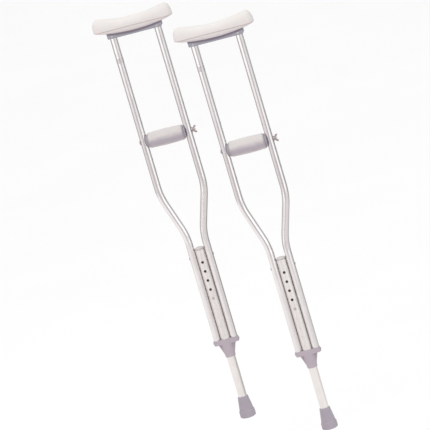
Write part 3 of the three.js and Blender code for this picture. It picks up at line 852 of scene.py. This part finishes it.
def underarm_pad():
    """A moulded saddle with a seam all round, and a pocket for the bracket."""
    half = span_mm("underarm_pad", "X")[1]
    low, high = span_mm("underarm_pad", "Z")
    rings = []
    for i in range(PAD_STATIONS + 1):
        along = math.sin(math.pi / 2 * (2 * i / PAD_STATIONS - 1))
        rings.append(pad_section(half * PAD_END_SHARE * along, half, low, high))
    around = len(rings[0])
    faces = ring_grid(rings)
    faces.append(tuple(range(around)))
    last = around * PAD_STATIONS
    faces.append(tuple(last + k for k in range(around)))
    points = []
    for place in (np.array(p) for ring in rings for p in ring):
        swell = PAD_SWELL * noise.noise(Vector(place) / PAD_SWELL_LENGTH) - PAD_INSET
        away = place - np.array([place[0] * HEART_SHARE, 0, PAD_SEAM_Z + HEART_RISE])
        away /= max(np.linalg.norm(away), 1e-6)
        points.append((place + away * swell) * MM)
    pad = mesh_piece("underarm_pad", points, faces, 60)
    pocket = prism("pocket", bracket_outline(GAP), -POCKET_HALF_W, POCKET_HALF_W, "XZ")
    boolean(pad, [pocket], sharp_deg=50)
    finish_piece(pad, "pad_vinyl", "frame", "underarm_pad", fill=0.95)


# --- Hand grip ---

GRIP_CENTRE = (0, 0, GRIP_Z)
CORE_FLANGE_R, CORE_R, CORE_FLANGE = 20.6, 9.0, 2.5
FOAM_BORE, FOAM_END_R, FOAM_SWELL, FOAM_EDGE = 9.3, 22.0, 2.0, 1.6
FOAM_LIP, FOAM_LIP_IN, FOAM_LIP_HALF_W = 0.7, 3.5, 1.8
FOAM_DENT, FOAM_DENT_LENGTH, FOAM_INSET = 0.25, 14.0, 0.15
BOLT_HEAD_R, BOLT_HEAD_RIM, BOLT_HEAD_RISE = 6.5, 0.6, 3.1
THREAD_FROM_X, THREAD_DEPTH = 76.0, 0.45
WASHER_R = 7.6
NUT_BASE_R, NUT_TOP_R, NUT_HEIGHT = 5.6, 4.7, 6.4
LEAF_LEAN = math.radians(62)
LEAF_OUT, LEAF_OFF, LEAF_HALF_L, LEAF_HALF_W, LEAF_HALF_T = 7.6, 7.8, 4.4, 2.9, 1.6
LEAF_MOST_OUT, LEAF_MOST_OFF = 11.8, 12.4
LEAF_NECK = ((1.2, 2.5), (4.8, 2.2), (8.2, 6.0), (5.6, 8.0), (2.6, 6.4))
LEAF_NECK_HALF_T = 1.0
NUT_VOXEL, NUT_PASSES = 0.22, 3


def saddle(name, side):
    """A washer with a hollow for the rail."""
    low, high = span_mm(name, "X")
    bottom, top = span_mm(name, "Z")
    start, end = (low, high) if side > 0 else (high, low)
    radius = (top - bottom) / 2 - 0.1
    profile = [(0, start), (radius, start), (radius, end), (0, end)]
    body = turned(name, profile, "X", GRIP_CENTRE, FINE, 0.8)
    at = (side * RAIL_HIGH_X, 0, GRIP_Z)
    rail_cut = drill("Z", at, RAIL_R + GAP, -40, 40, FINE)
    bolt_cut = drill("X", GRIP_CENTRE, BOLT_R + GAP, -80, 80)
    boolean(body, [rail_cut, bolt_cut])
    finish_piece(body, "washer_plastic", "grip", name)


def grip_core():
    """A spool with a bore for the bolt."""
    end = span_mm("grip_core", "X")[1]
    bore, inner = BOLT_R + GAP, end - CORE_FLANGE
    half = [(CORE_R, inner), (CORE_FLANGE_R, inner), (CORE_FLANGE_R, end), (bore, end)]
    profile = [(r, -x) for r, x in half[::-1]] + half + [(bore, -end)]
    core = turned("grip_core", profile, "X", GRIP_CENTRE, FINE, 0.8)
    finish_piece(core, "grip_plastic", "grip", "grip_core")


def grip_foam():
    """A barrel of foam with a soft lip near each end and slight dents."""
    half, edge = span_mm("grip_foam", "X")[1], FOAM_EDGE
    skin = []
    for t in np.linspace(0, math.pi / 2, 7):
        x = -half + edge * (1 - math.cos(t))
        skin.append((FOAM_END_R - edge * (1 - math.sin(t)), x))
    corner = skin[::-1]
    for x in np.linspace(-half + edge + 0.6, half - edge - 0.6, 64):
        lip = FOAM_LIP * math.exp(-(((half - abs(x) - FOAM_LIP_IN) / FOAM_LIP_HALF_W) ** 2))
        skin.append((FOAM_END_R + FOAM_SWELL * (1 - (x / half) ** 2) + lip, x))
    skin += [(r, -x) for r, x in corner]
    profile = [(FOAM_BORE, -half), *skin, (FOAM_BORE, half), (FOAM_BORE, -half)]
    piece = turned("grip_foam", profile, "X", GRIP_CENTRE, FINEST)
    for vertex in piece.data.vertices:
        place = np.array(vertex.co) / MM
        out = Vector((0, place[1], place[2] - GRIP_Z))
        if out.length > FOAM_BORE + 4:
            dent = FOAM_DENT * noise.noise(Vector(place) / FOAM_DENT_LENGTH) - FOAM_INSET
            vertex.co += Vector(out.normalized()) * dent * MM
    tidy_mesh(piece, 50)
    finish_piece(piece, "grip_foam", "grip", "grip_foam", fill=1)


def threads(start, end, crest, root, pitch=1.0):
    """A thread's ridges as (radius, height) pairs."""
    ridges = []
    for i in range(int((end - start) / pitch)):
        ridges += [(root, start + i * pitch), (crest, start + (i + 0.5) * pitch)]
    return ridges


def grip_bolt():
    """A round-headed bolt with its head on the left rail."""
    seat = -(RAIL_HIGH_X + RAIL_R + GAP)
    end = span_mm("grip_bolt", "X")[1]
    rim = seat - BOLT_HEAD_RIM
    crown = []
    for t in np.linspace(0, 1.5, 12):
        crown.append((BOLT_HEAD_R * math.sin(t), rim - BOLT_HEAD_RISE * math.cos(t)))
    profile = [
        *crown,
        (BOLT_HEAD_R, seat),
        (BOLT_R, seat),
        (BOLT_R, THREAD_FROM_X),
        *threads(THREAD_FROM_X, end - 1, BOLT_R, BOLT_R - THREAD_DEPTH),
        (BOLT_R - 0.5, end - 0.6),
        (BOLT_R - 1.1, end),
        (0, end),
    ]
    bolt = turned("grip_bolt", profile, "X", GRIP_CENTRE, COARSE)
    finish_piece(bolt, "bolt_steel", "bolt", "grip_bolt")


def flat_washer():
    low, high = span_mm("flat_washer", "X")
    bore = BOLT_R + GAP
    profile = [(bore, low), (WASHER_R, low), (WASHER_R, high), (bore, high), (bore, low)]
    washer = turned("flat_washer", profile, "X", GRIP_CENTRE, COARSE, 0.25)
    finish_piece(washer, "bolt_steel", "washer", "flat_washer")


def wing_nut():
    """A tapered hub and two oval leaves on short necks, one above and one below."""
    start = span_mm("wing_nut", "X")[0]
    hub_end = start + NUT_HEIGHT
    hub_profile = [(0, start), (NUT_BASE_R, start), (NUT_TOP_R, hub_end), (0, hub_end)]
    nut = turned("wing_nut", hub_profile, "X", GRIP_CENTRE, COARSE)
    rise, run = math.sin(LEAF_LEAN), math.cos(LEAF_LEAN)
    wings = []
    for up in (-1, 1):
        outline = []
        for t in np.linspace(0, 2 * math.pi, 24, endpoint=False):
            long_way, wide_way = LEAF_HALF_L * math.cos(t), LEAF_HALF_W * math.sin(t)
            out = min(LEAF_OUT + long_way * rise + wide_way * run, LEAF_MOST_OUT)
            off = min(LEAF_OFF + long_way * run - wide_way * rise, LEAF_MOST_OFF)
            outline.append((start + out, GRIP_Z + up * off))
        wings.append(prism("leaf", outline, -LEAF_HALF_T, LEAF_HALF_T, "XZ"))
        outline = [(start + out, GRIP_Z + up * off) for out, off in LEAF_NECK]
        wings.append(prism("neck", outline, -LEAF_NECK_HALF_T, LEAF_NECK_HALF_T, "XZ"))
    boolean(nut, wings, "UNION")
    softened(nut, NUT_VOXEL, NUT_PASSES)
    boolean(nut, [drill("X", GRIP_CENTRE, BOLT_R + GAP, start - 5, start + 30)])
    finish_piece(nut, "nut_bronze", "nut", "wing_nut")


# --- Rivets ---

RIVET_HEAD_R, RIVET_HEAD_RISE = 3.6, 1.2
YOKE_RIVET_LENGTH = 6


def head(face, outward):
    """A domed head that stands outward (+1 or -1) from a face."""
    points = []
    for t in np.linspace(math.pi / 2, 0, 8):
        height = face + outward * RIVET_HEAD_RISE * math.cos(t)
        points.append((RIVET_HEAD_R * math.sin(t), height))
    return points


def rivet(node, shaft, axis, at):
    piece = turned(node, shaft, axis, at, COARSE)
    finish_piece(piece, "rivet_metal", "frame", node)


def through(half):
    """A shaft with a head at each end, half its length each way."""
    return [*head(-half, -1)[::-1], (RIVET_R, -half), (RIVET_R, half), *head(half, 1)]


def rivets():
    """One across the centre tube, two through the bracket and two short ones in the yoke."""
    rail_face = RAIL_LOW_X + RAIL_R + GAP
    rivet("frame_rivet", through(rail_face), "X", (0, 0, FRAME_RIVET_Z))
    bracket_face = span_mm("saddle_bracket", "Y")[1] + GAP
    seat = RAIL_LOW_X + PLATE_END_R + GAP
    start = seat - YOKE_RIVET_LENGTH
    blind = [(0, start), (RIVET_R, start), (RIVET_R, seat), *head(seat, 1)]
    for name, side, axis in (("left", -1, "-X"), ("right", 1, "X")):
        at = (side * RAIL_HIGH_X, 0, BRACKET_RIVET_Z)
        rivet(f"bracket_rivet_{name}", through(bracket_face), "-Y", at)
        rivet(f"yoke_rivet_{name}", blind, axis, (0, 0, YOKE_RIVET_Z))


# --- Both crutches ---

# CAD nodes inside others, which keep their own mesh.
HIDDEN_NODES = {"leg_guide": "cap_plastic", "tip_disc": "bolt_steel"}

for rail_name, rail_side in (("left", -1), ("right", 1)):
    rail(f"{rail_name}_rail", rail_side)
    saddle(f"saddle_washer_{rail_name}", rail_side)
label_band()
centre_tube()
leg_tube()
centre_cap()
snap_button()
snap_spring()
yoke()
rubber_tip()
bracket()
underarm_pad()
grip_core()
grip_foam()
grip_bolt()
flat_washer()
wing_nut()
rivets()
for label in ORIGIN:
    for node, slot in HIDDEN_NODES.items():
        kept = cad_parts[f"{node}_{label}"]
        kept.data.materials.clear()
        kept.data.materials.append(FINISHES[slot])


# --- Studio ---

CAMERA_AZIMUTH, CAMERA_ELEVATION, CAMERA_ROLL = 9.0, 12.5, 16.4
CAMERA_DISTANCE, SENSOR_WIDTH = 40.0, 36
PICTURE_WIDTH = 1.238  # metres across the picture at crutch a
AIM_RIGHT, AIM_HEIGHT = 0.0708, 0.5993

# The studio round the horizon: (angle, brightness, warmth). The angle is from the camera, in
# degrees, negative to the camera's left. Warmth 1 is the full WARM_TINT.
WALL = (
    (-180, 0.48, 0.5),
    (-125, 0.55, 1.0),
    (-95, 0.88, 1.0),
    (-72, 1.0, 0.9),
    (-48, 0.85, 1.0),
    (-30, 0.68, 1.0),
    (-8, 0.58, 1.0),
    (10, 0.60, 0.6),
    (22, 1.5, 0.0),
    (58, 1.5, 0.0),
    (76, 0.62, 0.3),
    (100, 0.44, 0.2),
    (180, 0.42, 0.2),
)
FAR_FLOOR = (
    (-180, 0.48, 0.5),
    (-125, 0.55, 1.0),
    (-88, 0.62, 1.0),
    (-72, 1.5, 0.0),
    (-24, 1.5, 0.0),
    (-8, 0.66, 0.6),
    (10, 0.60, 0.6),
    (28, 0.86, 0.2),
    (80, 0.80, 0.2),
    (100, 0.48, 0.2),
    (180, 0.42, 0.2),
)
WARM_TINT = (1.0, 0.915, 0.915)
OVERHEAD = (1.06, 1.06, 1.06)
BELOW = (0.45, 0.41, 0.455)
BOUNCE = (1.1, 1.06, 1.07)

# The paper lies in shade behind the crutches, to the right: (share of a turn, brightness).
PAPER_SHADE = ((0.0, 0.9), (0.03, 1.0), (0.74, 1.0), (0.83, 0.5), (0.96, 0.4), (1.0, 0.7))
PAPER_COLOUR = (1.0, 0.97, 0.96)
PAPER_LEVEL, PAPER_SLOPE, PAPER_RISES_TO = 0.92, 0.1, -72
PAPER_EDGE, FAR_FLOOR_EDGE = (2.15, 2.8), (4.75, 5.0)  # from the middle of the pair, in metres
SWEEP_R, SWEEP_SIDES = 9.0, 64
PAIR_X, PAIR_Y, PAIR_MIDDLE_Z = 0.14, -0.19, 0.6

FLOOR_REACH = 40.0
FLOOR_DROP = 0.115  # clear below the tips, with room for the leg at its lowest hole

KEY_PLACE, KEY_SIZE, KEY_POWER, KEY_COLOUR = (-1.6, -2.5, 3.5), 2.4, 26, (1, 0.99, 0.98)


def camera():
    """A distant camera, turned so that the upright pair leans across the picture."""
    a, e = math.radians(CAMERA_AZIMUTH), math.radians(CAMERA_ELEVATION)
    right = Vector((math.cos(a), math.sin(a), 0))
    back = Vector((math.sin(a) * math.cos(e), -math.cos(a) * math.cos(e), math.sin(e)))
    data = bpy.data.cameras.new("camera")
    data.sensor_width = SENSOR_WIDTH
    data.lens = SENSOR_WIDTH * CAMERA_DISTANCE / PICTURE_WIDTH
    data.clip_end = 100
    eye = bpy.data.objects.new("camera", data)
    aim = Vector(ORIGIN["a"]) + right * AIM_RIGHT + Vector((0, 0, AIM_HEIGHT))
    level = back.to_track_quat("Z", "Y").to_matrix()
    roll = Matrix.Rotation(-math.radians(CAMERA_ROLL), 3, "Z")
    place = Matrix.Translation(aim + back * CAMERA_DISTANCE)
    eye.matrix_world = place @ (level @ roll).to_4x4()
    bpy.context.collection.objects.link(eye)
    bpy.context.scene.camera = eye


def key_light():
    """A large soft light from the upper left, aimed at the middle of the pair."""
    data = bpy.data.lights.new("key", "AREA")
    data.size = KEY_SIZE
    data.energy = KEY_POWER
    data.color = KEY_COLOUR
    lamp = bpy.data.objects.new("key", data)
    lamp.location = KEY_PLACE
    back = Vector(KEY_PLACE) - Vector((PAIR_X, PAIR_Y, PAIR_MIDDLE_Z))
    lamp.rotation_euler = back.to_track_quat("Z", "Y").to_euler()
    lamp.visible_camera = False
    bpy.context.collection.objects.link(lamp)


def toward(tree, x, y, degrees):
    """How far (x, y) lies in a direction, given in degrees from the camera."""
    angle = math.radians(CAMERA_AZIMUTH - 90 + degrees)
    by_x = maths(tree, "MULTIPLY", x, math.cos(angle))
    by_y = maths(tree, "MULTIPLY", y, math.sin(angle))
    return maths(tree, "ADD", by_x, by_y)


def bearing(tree, x, y):
    """The angle of (x, y) round the studio as a share of a turn, 0.5 straight at the camera."""
    ahead, across = (toward(tree, x, y, degrees) for degrees in (0, 90))
    angle = maths(tree, "ARCTAN2", across, ahead)
    return maths(tree, "MULTIPLY_ADD", angle, 0.5 / math.pi, 0.5)


def wall_colours(tree, share, wall):
    """The (angle, brightness, warmth) stops of a wall, as a colour."""
    brightest = max(level for _, level, _ in wall)
    stops = []
    for degrees, level, warmth in wall:
        colour = [level / brightest * (1 + warmth * (c - 1)) for c in WARM_TINT]
        stops.append((0.5 + degrees / 360, tuple(colour)))
    lift = tree.nodes.new("ShaderNodeVectorMath")
    lift.operation = "SCALE"
    tree.links.new(ramp(tree, share, *stops), lift.inputs[0])
    lift.inputs["Scale"].default_value = brightest
    return lift.outputs[0]


def flat_sheet(name, corners, material):
    """A flat face of the studio."""
    mesh = bpy.data.meshes.new(name)
    mesh.from_pydata(corners, [], [tuple(range(len(corners)))])
    mesh.materials.append(material)
    sheet = bpy.data.objects.new(name, mesh)
    bpy.context.collection.objects.link(sheet)
    return sheet


def floor():
    """White paper that catches the shadows and is out of sight of the metal."""
    material, tree, shader = new_material("floor", (0.93, 0.93, 0.93), 0.9)
    shader.inputs["Specular IOR Level"].default_value = 0.1
    clouds = grain(tree, coordinates(tree), 3, 2)
    tint = ramp(tree, clouds, (0.3, 0.925), (0.7, 0.935))
    tree.links.new(tint, shader.inputs["Base Color"])
    sides = ((-1, -1), (1, -1), (1, 1), (-1, 1))
    corners = [(x * FLOOR_REACH, y * FLOOR_REACH, -FLOOR_DROP) for x, y in sides]
    sheet = flat_sheet("floor", corners, material)
    sheet.visible_glossy = False
    sheet.visible_diffuse = False


def surroundings():
    """The world: a wall by bearing, white overhead, grey below and bright straight down."""
    world = bpy.data.worlds.new("studio")
    world.use_nodes = True
    tree = world.node_tree
    place = axes(tree, tree.nodes.new("ShaderNodeTexCoord").outputs["Generated"])
    up = place["Z"]
    down = maths(tree, "MULTIPLY", up, -1)
    rise = ramp(tree, maths(tree, "ADD", up, 0.5), (0.55, 0.0), (0.95, 1.0))
    fall = ramp(tree, down, (0.15, 0.0), (0.65, 1.0))
    deep = ramp(tree, down, (0.6, 0.0), (0.88, 1.0))
    colour = wall_colours(tree, bearing(tree, place["X"], place["Y"]), WALL)
    for amount, end_colour in ((rise, OVERHEAD), (fall, BELOW), (deep, BOUNCE)):
        colour = mixed(tree, amount, colour, end_colour)
    tree.links.new(colour, tree.nodes["Background"].inputs["Color"])
    bpy.context.scene.world = world


def sweep():
    """The paper underfoot and the room's floor past it, as the metal sees them."""
    material = bpy.data.materials.new("sweep")
    material.use_nodes = True
    tree = material.node_tree
    tree.nodes.remove(tree.nodes["Principled BSDF"])
    place = axes(tree, coordinates(tree))
    x, y = place["X"], place["Y"]
    share = bearing(tree, x, y)
    paper = tree.nodes.new("ShaderNodeEmission")
    paper.inputs["Color"].default_value = (*PAPER_COLOUR, 1)
    slope = toward(tree, x, y, PAPER_RISES_TO)
    level = maths(tree, "MULTIPLY_ADD", slope, PAPER_SLOPE, PAPER_LEVEL)
    shade = ramp(tree, share, *PAPER_SHADE)
    tree.links.new(maths(tree, "MULTIPLY", level, shade), paper.inputs["Strength"])
    room = tree.nodes.new("ShaderNodeEmission")
    tree.links.new(wall_colours(tree, share, FAR_FLOOR), room.inputs["Color"])
    clear = tree.nodes.new("ShaderNodeBsdfTransparent")
    x_squared, y_squared = (maths(tree, "MULTIPLY", side, side) for side in (x, y))
    radius = maths(tree, "SQRT", maths(tree, "ADD", x_squared, y_squared))
    out = maths(tree, "DIVIDE", radius, SWEEP_R)
    surface = paper.outputs[0]
    for (near, far), beyond in ((PAPER_EDGE, clear), (FAR_FLOOR_EDGE, room)):
        blend = tree.nodes.new("ShaderNodeMixShader")
        fade = ramp(tree, out, (near / SWEEP_R, 0.0), (far / SWEEP_R, 1.0))
        tree.links.new(fade, blend.inputs[0])
        tree.links.new(surface, blend.inputs[1])
        tree.links.new(beyond.outputs[0], blend.inputs[2])
        surface = blend.outputs[0]
    tree.links.new(surface, tree.nodes["Material Output"].inputs["Surface"])
    angles = [2 * math.pi * k / SWEEP_SIDES for k in range(SWEEP_SIDES)]
    rim = [(SWEEP_R * math.cos(a), SWEEP_R * math.sin(a), 0) for a in angles]
    ground = flat_sheet("sweep", rim, material)
    ground.location = (PAIR_X, PAIR_Y, -MM)
    for unseen in ("camera", "diffuse", "shadow", "transmission"):
        setattr(ground, f"visible_{unseen}", False)


camera()
floor()
surroundings()
key_light()
sweep()
bpy.context.scene.view_settings.view_transform = "Standard"
